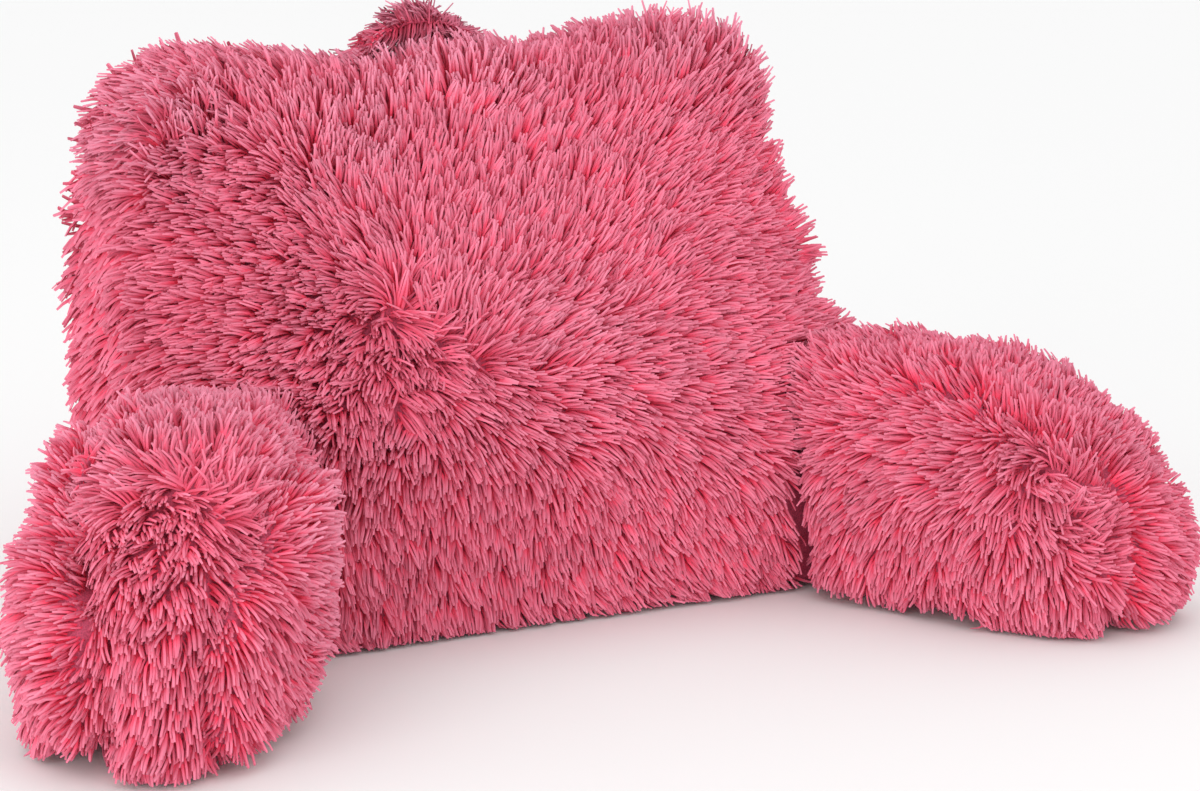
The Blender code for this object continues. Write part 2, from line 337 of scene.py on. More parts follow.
def cloth_case(node, neighbours, cell, height_at):
    """The cushion's cloth: the solid's form without its locks, drawn in by the pile's height, then filled."""
    made = new_piece(node + "_case", welded(node))
    remesh = made.modifiers.new("even", "REMESH")
    remesh.mode = "VOXEL"
    remesh.voxel_size = cell
    mesh = evaluated_mesh(made)
    made.modifiers.clear()
    made.data = mesh
    set_points(mesh, evened(mesh, times=14, keeping=True))
    points, normals = points_of(mesh), normals_of(mesh)
    nearness = np.zeros(len(points))
    for other in neighbours:
        nearness = np.maximum(nearness, np.clip(1.5 - gap_to(other, points) / PRESSED_WITHIN, 0, 1))
    nearness = evened(mesh, times=4, values=nearness)[:, 0]
    draw_in = height_at(mesh, points, normals) * (1 - nearness) + PRESSED_DEPTH * nearness
    inner = points - normals * evened(mesh, times=6, values=draw_in)
    inner[:, 2] = np.maximum(inner[:, 2], LOWEST_CLOTH)
    set_points(mesh, inner)
    set_points(mesh, evened(mesh, times=2))
    fill_with_air(made)
    points = points_of(mesh)
    points[:, 2] = np.maximum(points[:, 2], LOWEST_CLOTH)
    set_points(mesh, points)
    mesh.shade_smooth()
    return made


def fill_with_air(made):
    """Swells the cloth from inside, no further than the limit, and then takes off the broad part of that, so
    that what is left is how unevenly the cloth takes the filling."""
    before = points_of(made.data)
    cloth = made.modifiers.new("filling", "CLOTH")
    cloth.settings.quality = 4
    cloth.settings.mass = 0.2
    cloth.settings.tension_stiffness = 12
    cloth.settings.compression_stiffness = 12
    cloth.settings.bending_stiffness = 0.4
    cloth.settings.use_pressure = True
    cloth.settings.uniform_pressure_force = 4
    cloth.settings.effector_weights.gravity = 0
    cloth.collision_settings.use_collision = False
    for number in range(1, FILLING_FRAMES + 1):
        bpy.context.scene.frame_set(number)
    after = points_of(evaluated_mesh(made))
    made.modifiers.clear()
    bpy.context.scene.frame_set(1)
    move = after - before
    length = np.linalg.norm(move, axis=1, keepdims=True)
    move *= np.minimum(1, FILLING_LIMIT / np.maximum(length, 1e-9))
    set_points(made.data, before + move - evened(made.data, times=20, values=move))
    set_points(made.data, evened(made.data, times=1))


def put_values(mesh, name, values, kind="FLOAT", domain="POINT"):
    held = mesh.attributes.new(name, kind, domain)
    field = "vector" if kind == "FLOAT_VECTOR" else "value"
    held.data.foreach_set(field, np.asarray(values, float).ravel())


STROKE_CORE = 0.012  # nearer than this, a stroke has the pile to itself
RUFFLED_FROM, RUFFLED_SLOPE = 1.15, 1.3  # ruffled where the strokes cancel out, and not where they agree
RUFFLED_SWIRL = 0.9  # turn of the lay where the pile is ruffled
RUFFLED_LIFT = 0.05  # more stand there


def combed(mesh, points, normals, strokes, away=None, evening=8):
    """The pile's direction along the cloth at each point, and how upright, loose and long it is, from the
    nearest strokes. Where strokes part in every direction the pile is ruffled and swirls."""
    at = np.array([(s.x, s.y, s.z) for s in strokes])
    ways = np.array([(s.across, s.along, s.up) for s in strokes])
    ways /= np.linalg.norm(ways, axis=1, keepdims=True)
    gaps = ((points[:, None, :] - at[None, :, :]) ** 2).sum(2)
    weights = 1 / (gaps + STROKE_CORE**2) ** 2
    weights /= weights.sum(1, keepdims=True)
    lay = weights @ ways
    if away is not None:
        lay = lay + away
    lay -= normals * (lay * normals).sum(1, keepdims=True)
    lay = evened(mesh, times=evening, values=lay)
    agreement = np.linalg.norm(evened(mesh, times=evening * 3, values=lay), axis=1)
    ruffled = np.clip(RUFFLED_FROM - agreement * RUFFLED_SLOPE, 0, 1)
    lay = lay + np.cross(normals, lay) * ruffled[:, None] * RUFFLED_SWIRL
    stand = weights @ np.array([s.stand for s in strokes]) + ruffled * RUFFLED_LIFT
    loose = weights @ np.array([s.loose for s in strokes]) + ruffled
    reach = weights @ np.array([s.reach for s in strokes])
    return lay, stand, loose, reach


def mark_cloth(mesh, lay, stand, loose, reach, cover, zones):
    """Marks the cloth with how its pile lies, how much there is, and which piece of the pile grows there."""
    put_values(mesh, "lay", lay, "FLOAT_VECTOR")
    put_values(mesh, "stand", stand)
    put_values(mesh, "loose", loose)
    put_values(mesh, "reach", reach)
    put_values(mesh, "cover", cover)
    put_values(mesh, "zone", zones, domain="FACE")


# The pile itself: thousands of locks of felted fibre, each a narrow strip folded along its middle, with a
# blunt end. Each is rooted in the cloth and bent along the lay, and neighbours lean together into tufts.

PILE_INPUTS = (
    ("Locks per m2", "NodeSocketFloat"),
    ("Length", "NodeSocketFloat"),
    ("Width", "NodeSocketFloat"),
    ("Tuft size", "NodeSocketFloat"),
    ("Tuft pull", "NodeSocketFloat"),
    ("Zone", "NodeSocketFloat"),
    ("Seed", "NodeSocketInt"),
    ("Fibre", "NodeSocketMaterial"),
)

CANDIDATE_ROOTS = 3.0  # for each lock asked for
ROOT_SPACING = 0.56  # least gap between roots, with one lock on each unit of area
ROOT_DEPTH = 0.001  # of a lock's end in the cloth
LOWEST_FIBRE, LOWEST_FIBRE_SPREAD = 0.0012, 0.002  # over the ground

# a lock's section, in half widths, and how its width differs from the given one
FOLD_HALF_WIDTH, FOLD_MIDDLE, FOLD_DEPTH = 0.9, 0.6, 0.9
ROLL = 0.6  # most that it is turned about its length, in radians
WIDTH_LEAST, WIDTH_SPREAD = 0.8, 0.4
ROOT_FULLNESS, BLUNTING, BLUNTING_DELAY = 1.05, 0.3, 4.0

# a lock's length, as a share of the given one, and its line, in shares of its own length
LENGTH_LEAST, LENGTH_SPREAD, TUFT_LENGTH = 0.8, 0.4, 0.3
RISE_LEAST, RISE_SPREAD, TUFT_RISE = 0.24, 0.04, 0.1
RISE_LOW, RISE_HIGH = 0.08, 0.95
EARLY_RISE, LATE_RUN = 0.5, 1.3  # it goes up first and along later
CLOSER_TO_TIP = 0.25  # how much its bends crowd towards the tip
BOW = 0.35  # to one side
LOOSE_STRAY, LOOSE_TUFT_STRAY, EVERY_STRAY = 0.1, 0.3, 0.03  # of its tip

# how far the lay wanders from the strokes over the cloth, from tuft to tuft and from lock to lock
DRIFT, DRIFTS_PER_METRE = 0.8, 11.0
TUFT_TURN, LOOSE_TUFT_TURN = 0.2, 1.3
LOCK_TURN = 0.05

ONLY_FOR_SHAPE = (
    "root",
    "out",
    "to_tuft",
    "tuft",
    "roll",
    "lock",
    "stray",
    "fold",
    "lay",
    "stand",
    "loose",
    "reach",
    "cover",
    "zone",
)


def pile_tree():
    tree = bpy.data.node_groups.new("shaggy_pile", "GeometryNodeTree")
    tree.interface.new_socket("Cloth", in_out="INPUT", socket_type="NodeSocketGeometry")
    for name, kind in PILE_INPUTS:
        tree.interface.new_socket(name, in_out="INPUT", socket_type=kind)
    tree.interface.new_socket("Pile", in_out="OUTPUT", socket_type="NodeSocketGeometry")
    given = put(tree, "NodeGroupInput", {})

    def kept(name, kind="FLOAT"):
        return put(tree, "GeometryNodeInputNamedAttribute", {"data_type": kind}, Name=name)["Attribute"]

    def kept_vector(name):
        return kept(name, "FLOAT_VECTOR")

    def keep(geometry, name, value, kind="FLOAT"):
        return put(
            tree,
            "GeometryNodeStoreNamedAttribute",
            {"data_type": kind, "domain": "POINT"},
            Geometry=geometry,
            Name=name,
            Value=value,
        )["Geometry"]

    def keep_vector(geometry, name, value):
        return keep(geometry, name, value, "FLOAT_VECTOR")

    def chance(low, high, seed):
        return put(
            tree,
            "FunctionNodeRandomValue",
            {"data_type": "FLOAT_VECTOR" if isinstance(low, tuple) else "FLOAT"},
            Min=low,
            Max=high,
            Seed=given["Seed"] + seed,
        )["Value"]

    # Where the locks are rooted, and what each one is like.
    rooted = put(
        tree,
        "GeometryNodeDistributePointsOnFaces",
        {"distribute_method": "POISSON"},
        Mesh=given["Cloth"],
        Distance_Min=ROOT_SPACING / given["Locks per m2"] ** 0.5,
        Density_Max=given["Locks per m2"] * CANDIDATE_ROOTS,
        Density_Factor=kept("cover") * maths("COMPARE", kept("zone"), given["Zone"], 0.3),
        Seed=given["Seed"],
    )
    place = put(tree, "GeometryNodeInputPosition", {})["Position"]
    nearest_tuft = put(
        tree,
        "ShaderNodeTexVoronoi",
        {"feature": "F1", "voronoi_dimensions": "3D"},
        Vector=place,
        Scale=1 / given["Tuft size"],
        Randomness=1.0,
    )
    roots = keep_vector(rooted["Points"], "root", place)
    roots = keep_vector(roots, "out", rooted["Normal"])
    roots = keep_vector(roots, "to_tuft", nearest_tuft["Position"] - place)
    roots = keep_vector(roots, "tuft", nearest_tuft["Color"] - (0.5, 0.5, 0.5))
    roots = keep(roots, "roll", chance(-ROLL, ROLL, 1))
    roots = keep(roots, "lock", chance(0.0, 1.0, 2))
    roots = keep_vector(roots, "stray", chance((-1.0, -1.0, -1.0), (1.0, 1.0, 1.0), 3))

    # One lock on every root: a flat strip, which remembers its folded section and how far along a point is.
    strip = put(
        tree,
        "GeometryNodeMeshGrid",
        {},
        Size_X=2.0,
        Size_Y=1.0,
        Vertices_X=3,
        Vertices_Y=4,
    )["Mesh"]
    flat = put(tree, "ShaderNodeSeparateXYZ", {}, Vector=place)
    folded = put(
        tree,
        "ShaderNodeCombineXYZ",
        {},
        X=flat["X"] * FOLD_HALF_WIDTH,
        Y=FOLD_MIDDLE - flat["X"] * flat["X"] * FOLD_DEPTH,
    )["Vector"]
    strip = keep_vector(strip, "fold", folded)
    strip = keep(strip, "along", flat["Y"] + 0.5)
    locks = put(tree, "GeometryNodeInstanceOnPoints", {}, Points=roots, Instance=strip)["Instances"]
    locks = put(tree, "GeometryNodeRealizeInstances", {}, Geometry=locks)["Geometry"]
    step = kept("along")
    along = step * (1 + CLOSER_TO_TIP - step * CLOSER_TO_TIP)
    root = kept_vector("root")
    out = kept_vector("out").unit()
    tuft = kept_vector("tuft")
    stray = kept_vector("stray")
    lock = kept("lock")
    loose = kept("loose")

    # The way that it lies along the cloth, how long it is, and how much of its length goes up and along.
    drift = put(
        tree,
        "ShaderNodeTexNoise",
        {"noise_dimensions": "3D"},
        Vector=root,
        Scale=DRIFTS_PER_METRE,
        Detail=1.0,
    )["Color"] - (0.5, 0.5, 0.5)
    own_turn = tuft * (loose * LOOSE_TUFT_TURN + TUFT_TURN)
    lay = kept_vector("lay").unit() + drift * DRIFT + own_turn + stray * LOCK_TURN
    lay = (lay - out * lay.dot(out)).unit()
    length_share = lock * LENGTH_SPREAD + LENGTH_LEAST + tuft.dot((0.0, TUFT_LENGTH, 0.0))
    length = given["Length"] * kept("reach") * length_share
    rise = kept("stand") * RISE_PER_STAND + RISE_LEAST
    rise = rise + lock * RISE_SPREAD + tuft.dot((0.0, 0.0, TUFT_RISE))
    rise = maths("MINIMUM", maths("MAXIMUM", rise, RISE_LOW), RISE_HIGH)
    run = (1.0 - rise * rise) ** 0.5

    # Its middle line: up at first, then over along the lay, bowed a little, and drawn to its tuft's middle.
    side = lay.cross(out)
    line = out * (rise * along * (1 + EARLY_RISE - along * EARLY_RISE)) + lay * (run * along**LATE_RUN)
    line = line + (stray * LOOSE_STRAY + tuft * LOOSE_TUFT_STRAY) * (along * loose)
    line = line + stray * (along * EVERY_STRAY)
    line = line + side * ((along * along - along) * stray.dot((BOW, 0.0, 0.0)))
    pull = kept_vector("to_tuft")
    pull = (pull - out * pull.dot(out)) * (along * along * given["Tuft pull"])

    # Its section: folded, rolled a little about the middle line, and narrower at the tip.
    upwards = rise * (1 + EARLY_RISE - along * (2 * EARLY_RISE))
    onwards = run * along ** (LATE_RUN - 1) * LATE_RUN
    heading = (out * upwards + lay * onwards).unit()
    rolled = put(
        tree,
        "ShaderNodeVectorRotate",
        {"rotation_type": "Z_AXIS"},
        Vector=kept_vector("fold"),
        Angle=kept("roll"),
    )["Vector"]
    rolled = put(tree, "ShaderNodeSeparateXYZ", {}, Vector=rolled)
    half_width = given["Width"] * 0.5 * (ROOT_FULLNESS - along**BLUNTING_DELAY * BLUNTING)
    half_width = half_width * (lock * WIDTH_SPREAD + WIDTH_LEAST)
    section = (side * rolled["X"] + side.cross(heading) * rolled["Y"]) * half_width

    # Nothing goes through the ground.
    bent = root - out * ROOT_DEPTH + line * length + pull + section
    bent = put(tree, "ShaderNodeSeparateXYZ", {}, Vector=bent)
    settled = put(
        tree,
        "ShaderNodeCombineXYZ",
        {},
        X=bent["X"],
        Y=bent["Y"],
        Z=maths("MAXIMUM", bent["Z"], LOWEST_FIBRE + lock * LOWEST_FIBRE_SPREAD),
    )["Vector"]
    shaped = put(tree, "GeometryNodeSetPosition", {}, Geometry=locks, Position=settled)["Geometry"]

    # What the fibre's colour goes by is kept, and the rest comes off.
    shaped = keep(shaped, "along", along)
    shaped = keep(shaped, "tone", lock)
    shaped = keep(shaped, "upright", rise)
    shaped = keep(shaped, "ruffled", loose)
    shaped = keep(shaped, "tuft_tone", tuft.dot((1.0, 0.0, 0.0)))
    for name in ONLY_FOR_SHAPE:
        shaped = put(tree, "GeometryNodeRemoveAttribute", {}, Geometry=shaped, Name=name)["Geometry"]
    shaped = put(tree, "GeometryNodeSetShadeSmooth", {}, Geometry=shaped, Shade_Smooth=False)["Geometry"]
    done = put(tree, "GeometryNodeSetMaterial", {}, Geometry=shaped, Material=given["Fibre"])["Geometry"]
    put(tree, "NodeGroupOutput", {}, Pile=done)
    return tree


PILE = pile_tree()


def grow_pile(name, cloth, material, **sizes):
    """Grows the pile on a cushion's cloth, and keeps it as a plain mesh."""
    made = new_piece(name, cloth.data.copy())
    modifier = made.modifiers.new("pile", "NODES")
    modifier.node_group = PILE
    values = dict(sizes, Fibre=material)
    for item in PILE.interface.items_tree:
        if item.in_out == "INPUT" and item.name in values:
            modifier[item.identifier] = values.pop(item.name)
    assert not values, values
    mesh = evaluated_mesh(made)
    made.modifiers.clear()
    made.data = mesh
    mesh.name = name
    return made


def painted(name, roughness):
    """A new material, its node tree and its shader."""
    material = bpy.data.materials.new(name)
    material.use_nodes = True
    shader = material.node_tree.nodes["Principled BSDF"]
    shader.inputs["Roughness"].default_value = roughness
    return material, material.node_tree, shader


# Colours along a lock: painted shade at the root, deep red for the shade between the locks, the fibre's own
# colour in the body, and painted sheen at the tip where the lock stands up.
CLIMB_START, CLIMB_END, RUFFLED_CLIMB = 0.15, 0.9, 0.4  # root's colour to body's, along a lock
PALE_START, PALE_END, PALE_SPREAD = 0.6, 1.0, 0.3  # body's colour to tip's
SHEEN_PER_RISE, PALE_PER_LOCK, PALE_LESS = 1.4, 0.2, 0.38
LOCK_SHADE, TUFT_SHADE, PATCH_SHADE = 0.28, 0.16, 0.25


def fibre_material(name, root, body, tip):
    """Felted polyester fibre with light painted into its colour: painted shade, deep red, towards the roots
    between the locks, and painted sheen, paler and greyer, where the tips stand up.
    """
    material, tree, shader = painted(name, roughness=0.62)
    shader.inputs["Specular IOR Level"].default_value = 0.06

    def marked(attribute):
        return put(tree, "ShaderNodeAttribute", {"attribute_name": attribute})["Fac"]

    def mixed(share, a, b):
        return put(tree, "ShaderNodeMix", {"data_type": "RGBA"}, Factor=share, A=a, B=b)["Result"]

    along, tone, upright = marked("along"), marked("tone"), marked("upright")
    place = put(tree, "ShaderNodeTexCoord", {})["Object"]
    patch = put(tree, "ShaderNodeTexNoise", {}, Vector=place, Scale=9.0, Detail=2.0)["Fac"]

    # From the root's colour, painted shade between the locks, to the body's, sooner where the pile is
    # ruffled, and to the tip's, painted sheen, where it stands up.
    climb = put(
        tree,
        "ShaderNodeMapRange",
        {"interpolation_type": "SMOOTHSTEP"},
        Value=along + marked("ruffled") * RUFFLED_CLIMB,
        From_Min=CLIMB_START,
        From_Max=CLIMB_END,
    )["Result"]
    # Painted sheen: the tip turns paler and greyer the more upright its lock stands, as where standing tips
    # catch the light.
    painted_sheen = put(
        tree,
        "ShaderNodeMapRange",
        {},
        Value=along + (tone - 0.5) * PALE_SPREAD,
        From_Min=PALE_START,
        From_Max=PALE_END,
    )["Result"]
    colour = mixed(climb, (*root, 1.0), (*body, 1.0))
    painted_sheen = painted_sheen * (upright * SHEEN_PER_RISE + tone * PALE_PER_LOCK - PALE_LESS)
    colour = mixed(painted_sheen, colour, (*tip, 1.0))

    # Lighter and darker from lock to lock, from tuft to tuft, and in broad patches.
    shade = 1.0 + (tone - 0.5) * LOCK_SHADE + marked("tuft_tone") * TUFT_SHADE + (patch - 0.5) * PATCH_SHADE
    feed(shader.inputs["Base Color"], colour * shade)
    return material


def cloth_material(name, colour):
    """Knitted backing cloth, seen only where the pile parts."""
    material, tree, shader = painted(name, roughness=0.85)
    place = put(tree, "ShaderNodeTexCoord", {})["Object"]
    knit = put(tree, "ShaderNodeTexVoronoi", {}, Vector=place, Scale=700.0)["Distance"]
    mottle = put(tree, "ShaderNodeTexNoise", {}, Vector=place, Scale=60.0, Detail=3.0)["Fac"]
    dark = tuple(0.6 * c for c in colour)
    tinted = put(
        tree,
        "ShaderNodeMix",
        {"data_type": "RGBA"},
        Factor=knit,
        A=(*dark, 1.0),
        B=(*colour, 1.0),
    )["Result"]
    feed(shader.inputs["Base Color"], tinted * (0.8 + knit * 0.3 + mottle * 0.2))
    bump = put(tree, "ShaderNodeBump", {}, Strength=0.5, Distance=0.0005, Height=knit)["Normal"]
    feed(shader.inputs["Normal"], bump)
    return material


# The root's colour is painted shade between the locks, and the tip's colour is painted sheen on the standing
# tips.
PILE_ROOT_SHADE = (0.95, 0.054, 0.122)
PILE_BODY = (0.79, 0.124, 0.212)
PILE_TIP_SHEEN = (0.75, 0.290, 0.400)
FIBRE = fibre_material("shaggy fibre", PILE_ROOT_SHADE, PILE_BODY, PILE_TIP_SHEEN)
BACKING = cloth_material("backing cloth", (0.55, 0.06, 0.13))

BACK_ZONES = {"front": 1, "seat": 2, "top": 3, "side": 4, "rear": 5}
BACK_DENSITY = {"front": 118000.0, "seat": 112000.0, "top": 112000.0, "side": 36000.0, "rear": 30000.0}
BACK_WIDTH = {"front": 0.0021, "seat": 0.0021, "top": 0.0021, "side": 0.0032, "rear": 0.0035}
SEAT_BELOW, TOP_ABOVE = 0.20, 0.30  # heights
REAR_FACING, FRONT_FACING, SIDE_FACING = 0.55, -0.35, 0.75  # by the cloth's normal
TUFT_SIZE, TUFT_PULL = 0.010, 0.28

BARE_WITHIN, THIN_WITHIN = 0.004, 0.006  # of a neighbour: no pile, and from there a strip of thin pile
UNDER_HEIGHT = 0.03  # the underside and its edges are lower than this
EDGE_FACING, UNDER_FACING = -0.75, -0.98
UNDER_COVER = 0.1


def back_zone(centre, normal):
    """Which piece of the pile grows here. Each is as dense and as coarse as its side of the cushion needs."""
    if normal[1] > REAR_FACING:
        return BACK_ZONES["rear"]
    if normal[1] < FRONT_FACING and abs(normal[0]) < SIDE_FACING:
        return BACK_ZONES["seat"] if centre[2] < SEAT_BELOW else BACK_ZONES["front"]
    return BACK_ZONES["top"] if centre[2] > TOP_ABOVE else BACK_ZONES["side"]


def sewn_share(points, neighbours):
    """How much of the pile is left at each point: none where the cloth is sewn against a neighbour."""
    left = np.ones(len(points))
    for other in neighbours:
        left = np.minimum(left, np.clip((gap_to(other, points) - BARE_WITHIN) / THIN_WITHIN, 0, 1))
    return left


def under_share(points, normals):
    """Little pile on the underside, which the pillow stands on, and none under its edges."""
    low = points[:, 2] < UNDER_HEIGHT
    left = np.where(low & (normals[:, 2] < EDGE_FACING), 0.0, 1.0)
    return np.where(low & (normals[:, 2] < UNDER_FACING), UNDER_COVER, left)


def back_height(mesh, points, normals):
    _, stand, _, reach = combed(mesh, points, normals, BACK_STROKES)
    return pile_height(BACK_LOCK, stand, reach, points, BACK_SWELLS)


back = cloth_case("back_cushion", ("arm_left", "arm_right"), BACK_CLOTH_CELL, back_height)
points, normals = points_of(back.data), normals_of(back.data)
lay, stand, loose, reach = combed(back.data, points, normals, BACK_STROKES)
cover = sewn_share(points, ("arm_left", "arm_right")) * under_share(points, normals)
zones = [back_zone(face.center, face.normal) for face in back.data.polygons]
mark_cloth(back.data, lay, stand, loose, reach, cover, zones)

back_pile = [
    grow_pile(
        "back_pile_" + zone,
        back,
        FIBRE,
        **{
            "Locks per m2": BACK_DENSITY[zone],
            "Length": BACK_LOCK,
            "Width": BACK_WIDTH[zone],
            "Tuft size": TUFT_SIZE,
            "Tuft pull": TUFT_PULL,
            "Zone": float(number),
            "Seed": number,
        },
    )
    for zone, number in BACK_ZONES.items()
]
back.data.materials.clear()
back.data.materials.append(BACKING)
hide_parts("back_cushion")
for piece in (back, *back_pile):
    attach(piece, "root")


# ---- The arms ----
# Two filled arms, each of two D-shaped panels with a strip over the top and the front end, sewn to the front
# of the back cushion and turned outwards. Their pile whirls out from the top of the front end, parts along
# both seams of the strip, and hangs below.

ARM_ROOT = (0.200, -0.019)  # where an arm's middle line leaves the back cushion
ARM_SPLAY = 33.5  # degrees outwards from straight ahead
ARM_CLOTH_CELL = 0.009
ARM_LOCK, ARM_LOCK_WIDTH = 0.0185, 0.0021

LEFT_SEAM_DEPTH, RIGHT_SEAM_DEPTH = 0.024, 0.015  # how deep the two seams are drawn in
SEAM_SPREAD = 0.012  # half the width of the furrow
PARTING_EDGE, PARTING_SPREAD = 0.006, 0.020  # how near the seam the pile turns away from it, and how far off
PARTING = 1.2  # how strongly it turns away
RIM_FROM, RIM_SLOPE = 1.5, 1.6  # the seams' furrows are on the rim, and not on the panels' flat middles
SHORTER_AT_SEAM, THINNER_AT_SEAM = 0.6, 0.4

# how far across an arm its two seams are, at places along it
SeamPlace = namedtuple("SeamPlace", "along low high")
LEFT_SEAMS = (
    SeamPlace(0.00, -0.047, 0.047),
    SeamPlace(0.12, -0.060, 0.060),
    SeamPlace(0.20, -0.055, 0.068),
    SeamPlace(0.26, -0.042, 0.064),
    SeamPlace(0.30, -0.027, 0.058),
    SeamPlace(0.32, -0.014, 0.054),
    SeamPlace(0.335, -0.006, 0.050),
)
RIGHT_SEAMS = (
    SeamPlace(0.00, -0.047, 0.047),
    SeamPlace(0.12, -0.060, 0.060),
    SeamPlace(0.20, -0.062, 0.068),
    SeamPlace(0.27, -0.040, 0.060),
    SeamPlace(0.30, -0.045, 0.055),
    SeamPlace(0.34, -0.046, 0.050),
)

# in each arm's own measure: along it from the cushion, across it to the right as seen from in front, and up
LEFT_STROKES = (
    # whorl over the front end
    Stroke(0.235, 0.035, 0.168, -0.7, 0.3, 0.5, 0.2, 0.3),
    Stroke(0.21, 0.02, 0.175, -0.8, 0.2, 0.4, 0.5, 0.4, 1.2),
    Stroke(0.18, 0.02, 0.18, -0.9, -0.2, 0.2, 0.6, 0.4, 1.3),
    Stroke(0.18, -0.02, 0.18, -0.9, -0.5, 0.2, 0.6, 0.3),
    Stroke(0.16, 0.04, 0.18, -1.0, -0.1, 0.1, 0.6, 0.3),
    Stroke(0.22, 0.06, 0.17, -0.5, 0.8, 0.1, 0.6, 0.3),
    Stroke(0.25, -0.01, 0.16, 0.2, -0.9, -0.3, 0.5, 0.4),
    Stroke(0.26, 0.03, 0.156, 0.5, 0.1, -0.9, 0.2, 0.25, 0.85),
    Stroke(0.27, 0.01, 0.148, 0.4, -0.1, -0.9, 0.25, 0.2, 0.85),
    Stroke(0.285, 0.01, 0.140, 0.4, -0.1, -0.9, 0.35, 0.3, 0.85),
    Stroke(0.285, 0.05, 0.135, 0.3, 0.2, -0.9, 0.35, 0.3, 0.85),
    # front end
    Stroke(0.28, 0.06, 0.13, 0.2, 0.7, -0.5, 0.4),
    Stroke(0.31, 0.00, 0.12, 0.6, -0.2, -0.7, 0.3, 0.15, 0.82),
    Stroke(0.31, 0.04, 0.11, 0.5, 0.1, -0.8, 0.3, 0.15, 0.82),
    Stroke(0.32, 0.04, 0.05, 0.1, 0.0, -1.0, 0.3, 0.15, 0.82),
    Stroke(0.34, 0.01, 0.05, 0.1, -0.1, -1.0, 0.3, 0.15, 0.82),
    # panel beside the sitter
    Stroke(0.17, 0.07, 0.16, -0.9, 0.3, 0.0, 0.7, 0.15, 1.2),
    Stroke(0.20, 0.09, 0.13, -1.0, 0.1, -0.2, 0.7, 0.15, 1.2),
    Stroke(0.28, 0.08, 0.09, -0.1, 0.3, -0.9, 0.35),
    Stroke(0.19, 0.09, 0.08, -0.8, -0.1, -0.4, 0.6, 0.15, 1.2),
    Stroke(0.25, 0.08, 0.03, -0.5, 0.0, -0.8, 0.35),
    Stroke(0.12, 0.07, 0.08, -0.6, 0.0, -0.7, 0.35),
    # outer panel
    Stroke(0.23, -0.06, 0.15, -0.7, -0.6, 0.0, 0.5, 0.2, 1.2),
    Stroke(0.18, -0.08, 0.14, -0.7, -0.6, 0.0, 0.7, 0.2, 1.3),
    Stroke(0.29, -0.06, 0.12, -0.3, -0.9, -0.4, 0.5, 0.2, 1.2),
    Stroke(0.32, -0.05, 0.08, -0.1, -0.7, -0.7, 0.5, 0.2, 1.2),
    Stroke(0.33, -0.03, 0.04, 0.0, -0.5, -0.9, 0.35),
    Stroke(0.20, -0.09, 0.10, -0.6, -0.2, -0.6, 0.35),
    Stroke(0.22, -0.09, 0.04, -0.3, 0.0, -1.0, 0.3),
    Stroke(0.10, -0.07, 0.10, -0.6, 0.0, -0.6, 0.35),
    Stroke(0.08, 0.00, 0.19, -0.9, 0.0, 0.3, 0.5),
)
RIGHT_STROKES = (
    # over the top
    Stroke(0.11, -0.05, 0.18, -0.3, 0.6, 0.5, 0.4),
    Stroke(0.18, -0.02, 0.19, -0.3, 0.9, 0.2, 0.5),
    Stroke(0.23, 0.01, 0.17, -0.2, 1.0, 0.1, 0.5),
    Stroke(0.27, 0.02, 0.15, -0.1, 1.0, 0.1, 0.5),
    Stroke(0.31, -0.01, 0.13, 0.2, 1.0, 0.0, 0.5),
    Stroke(0.08, 0.03, 0.19, -0.6, 0.6, 0.3, 0.5),
    # panel beside the sitter
    Stroke(0.09, -0.06, 0.15, -0.9, 0.1, 0.2, 0.35),
    Stroke(0.14, -0.07, 0.13, -1.0, 0.0, -0.05, 0.35),
    Stroke(0.18, -0.08, 0.12, -0.9, 0.0, -0.3, 0.35),
    Stroke(0.12, -0.07, 0.10, -0.7, 0.0, -0.7, 0.35),
    Stroke(0.22, -0.06, 0.16, -0.6, 0.4, 0.6, 0.35),
    Stroke(0.21, -0.08, 0.15, -0.9, 0.1, 0.1, 0.35),
    Stroke(0.24, -0.08, 0.11, -0.7, 0.0, -0.6, 0.35),
    Stroke(0.27, -0.07, 0.13, -0.2, 0.3, 0.8, 0.45, 0.8),
    Stroke(0.11, -0.07, 0.05, -0.2, -0.1, -1.0, 0.3, 0.15, 0.82),
    Stroke(0.16, -0.09, 0.06, -0.3, 0.1, -1.0, 0.3, 0.15, 0.82),
    Stroke(0.21, -0.09, 0.04, -0.1, 0.1, -1.0, 0.3, 0.15, 0.82),
    Stroke(0.25, -0.09, 0.06, -0.2, 0.0, -1.0, 0.35),
    Stroke(0.29, -0.08, 0.03, 0.1, 0.2, -1.0, 0.35),
    Stroke(0.26, -0.08, 0.10, 0.5, 0.1, -0.8, 0.35, 1.0),
    # flattened seam and the front end
    Stroke(0.305, -0.06, 0.07, 0.8, 0.6, 0.0, 0.15),
    Stroke(0.305, -0.05, 0.11, 0.4, 0.9, 0.3, 0.2),
    Stroke(0.31, -0.07, 0.03, 0.3, 0.4, -0.8, 0.3),
    Stroke(0.33, -0.03, 0.07, 0.4, 0.7, -0.6, 0.35),
    Stroke(0.32, 0.02, 0.10, 0.0, 1.0, -0.2, 0.4),
    Stroke(0.33, -0.04, 0.03, 0.2, 0.7, -0.6, 0.35),
    Stroke(0.33, 0.02, 0.05, 0.1, 0.5, -0.9, 0.3),
    # outer panel
    Stroke(0.22, 0.09, 0.11, 0.1, 0.2, -0.9, 0.35),
    Stroke(0.20, 0.09, 0.04, 0.0, 0.0, -1.0, 0.3),
    Stroke(0.10, 0.07, 0.10, -0.2, 0.1, -0.9, 0.35),
    Stroke(0.29, 0.07, 0.07, 0.2, 0.4, -0.9, 0.35),
)

